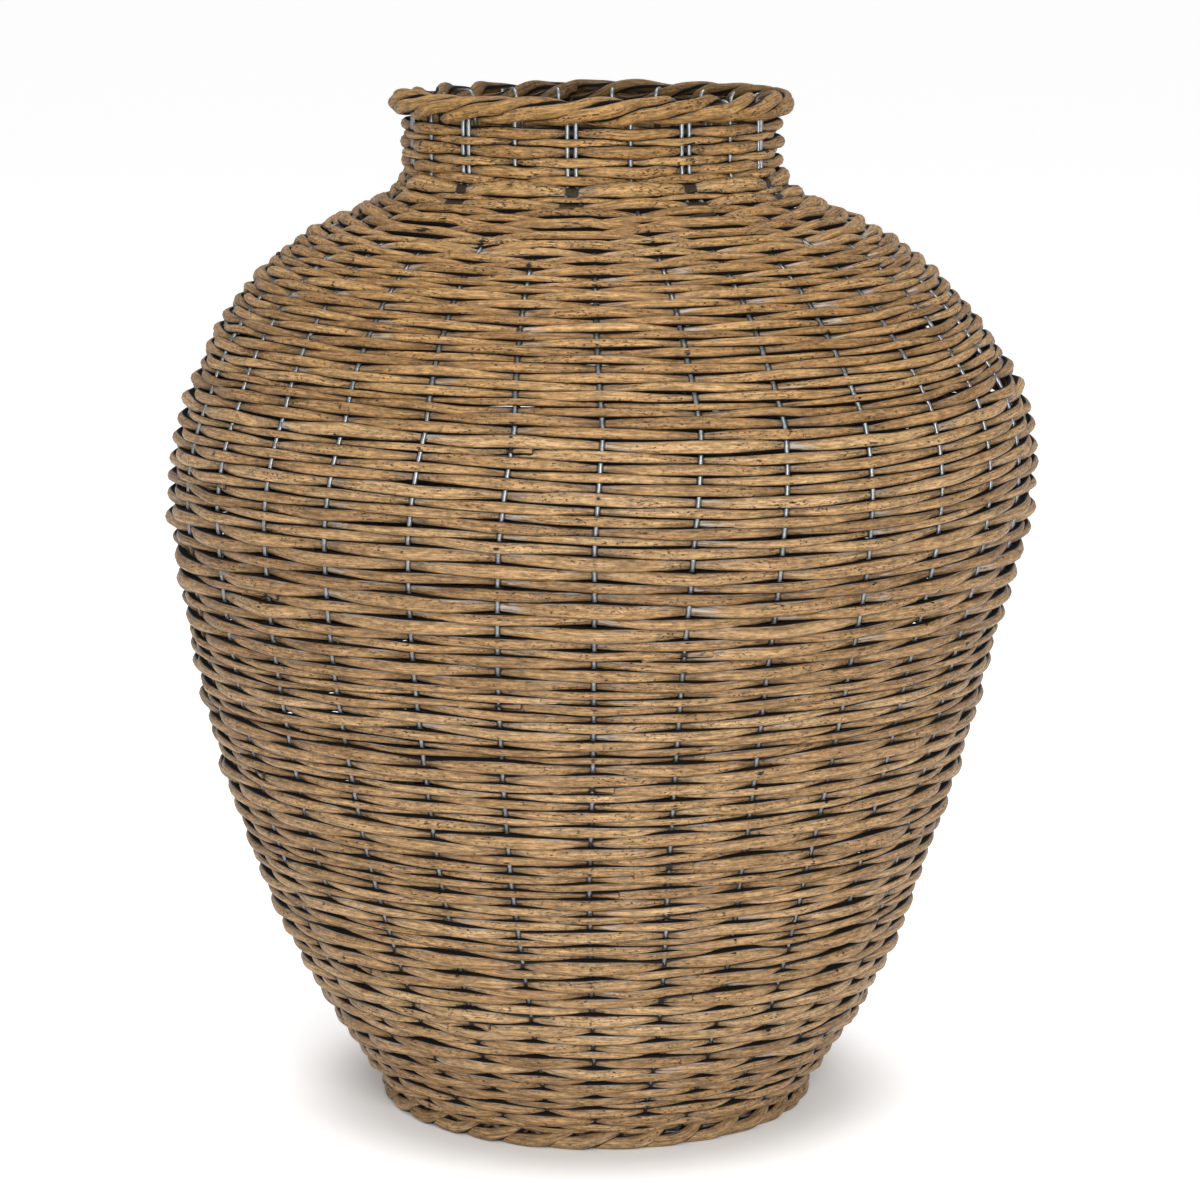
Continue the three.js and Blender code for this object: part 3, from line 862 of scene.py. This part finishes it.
def make_base_stick(layer, stick):
    from_middle = stick - (STICKS_PER_LAYER - 1) / 2
    fan = from_middle * TURN / (4 * STICKS_PER_LAYER)
    reach = np.linspace(-1, 1, BASE_STICK_STEPS)
    spread = smooth_step((np.abs(reach) * BASE_EDGE - BASE_EYE_RADIUS) / 0.03)
    x = reach * BASE_EDGE * (1 + spread * (math.cos(fan) - 1))
    y = from_middle * BASE_LAYER_GAP * (1 - spread) + np.abs(reach) * BASE_EDGE * math.sin(fan) * spread
    z = BASE_MIDDLE + (layer - 0.5) * BASE_LAYER_GAP * (1 - spread)
    points = np.stack([x, y, z] if layer == 0 else [-y, x, z], axis=-1)
    thick = BASE_STICK + (BASE_STICK_END - BASE_STICK) * spread
    number = layer * STICKS_PER_LAYER + stick + 1
    strand = Rod(points, thick / 2, float(rng.uniform(0.2, 0.7)), (0, 0, -1))
    piece = strand_mesh(f"base_rod_{number}", [strand], ROD_SIDES, upright=True)
    dress(piece, base_willow, "base_willow", f"base_stick_{number}")


def make_base_weaving():
    spokes = 4 * STICKS_PER_LAYER
    strands = []
    radius, number = BASE_EYE_RADIUS + BASE_ROD, 0
    while radius < BASE_EDGE:
        angle = np.linspace(0, TURN * 1.02, BASE_ROW_STEPS) + rng.uniform(0, TURN)
        if number < BASE_BINDING_ROWS:
            bow = np.cos(2 * angle) * (1 if number % 2 == 0 else -1)
        else:
            bow = np.cos(spokes / 2 * (angle - TURN / (2 * spokes))) * (1 if number % 2 == 0 else -1)
        thick = BASE_ROD * (1.08 - 0.16 * (angle - angle[0]) / TURN)
        height = BASE_MIDDLE + bow * (BASE_STICK_END + thick) / 2 * 0.96
        spread = radius + wobble(angle, 0.0002) + 0.0021 * (angle - angle[0]) / TURN
        points = np.stack([spread * np.cos(angle), spread * np.sin(angle), height], axis=-1)
        strands.append(Rod(points, thick / 2, float(rng.uniform(0.2, 0.8)), (0, 0, -1)))
        radius += BASE_ROD * 1.04
        number += 1
    piece = strand_mesh("base_weaving", strands, ROD_SIDES, upright=True)
    dress(piece, base_willow, "base_willow", "base_weave")


for stake in range(STAKES):
    make_stake(stake)
make_wall()
make_rim()
make_foot()
for layer in range(2):
    for stick in range(STICKS_PER_LAYER):
        make_base_stick(layer, stick)
make_base_weaving()


# Floor, light and camera

def make_floor():
    bpy.ops.object.select_all(action="DESELECT")
    bpy.ops.mesh.primitive_plane_add(size=FLOOR_SIZE, location=(0, 0, 0))
    floor = bpy.context.object
    floor.name = "pale_floor"
    n = Nodes("pale_floor")
    place = n.add("TexCoord").outputs["Object"]
    away = n.add("VectorMath", {0: place}, operation="LENGTH").outputs["Value"]
    shader = n.add("BsdfPrincipled", {
        "Base Color": (0.9, 0.9, 0.9, 1),
        "Roughness": 0.9,
        "Emission Color": (1, 1, 1, 1),
        "Emission Strength": n.ranged(away, FLOOR_GLOW_FROM, FLOOR_GLOW_FULL, 0.0, FLOOR_GLOW),
    })
    floor.data.materials.append(n.finish(shader))


def make_light(name, place, aim, size, power, colour):
    light = bpy.data.lights.new(name, "AREA")
    light.shape = "DISK"
    light.size = size
    light.energy = power
    light.color = colour
    lamp = bpy.data.objects.new(name, light)
    bpy.context.scene.collection.objects.link(lamp)
    lamp.location = place
    toward = np.array(aim) - np.array(place)
    lamp.rotation_euler = (
        math.pi / 2 + math.atan2(toward[2], math.hypot(toward[0], toward[1])),
        0,
        math.atan2(-toward[0], toward[1]),
    )


def make_world():
    world = bpy.data.worlds.new("studio")
    world.use_nodes = True
    background = world.node_tree.nodes["Background"]
    background.inputs["Color"].default_value = (1, 1, 1, 1)
    background.inputs["Strength"].default_value = WORLD_LIGHT
    bpy.context.scene.world = world


def make_camera():
    lens = bpy.data.cameras.new("camera")
    lens.sensor_width = 36
    lens.lens = LENS
    camera = bpy.data.objects.new("camera", lens)
    bpy.context.scene.collection.objects.link(camera)
    camera.location = CAMERA_PLACE
    camera.rotation_euler = (math.pi / 2 - CAMERA_PITCH, 0, 0)
    bpy.context.scene.camera = camera


make_floor()
make_light("front", (0.5, -2.8, 1.0), (0, 0, 0.27), 1.8, 85, (1.0, 1.0, 0.995))
make_light("left", (-2.0, -1.8, 1.0), (0, 0, 0.25), 1.5, 12, (1.0, 0.99, 0.98))
make_light("top", (0, 0.1, 2.0), (0, 0, 0.3), 1.0, 16, (0.97, 0.98, 1.0))
make_world()
make_camera()
bpy.context.scene.view_settings.view_transform = "Standard"
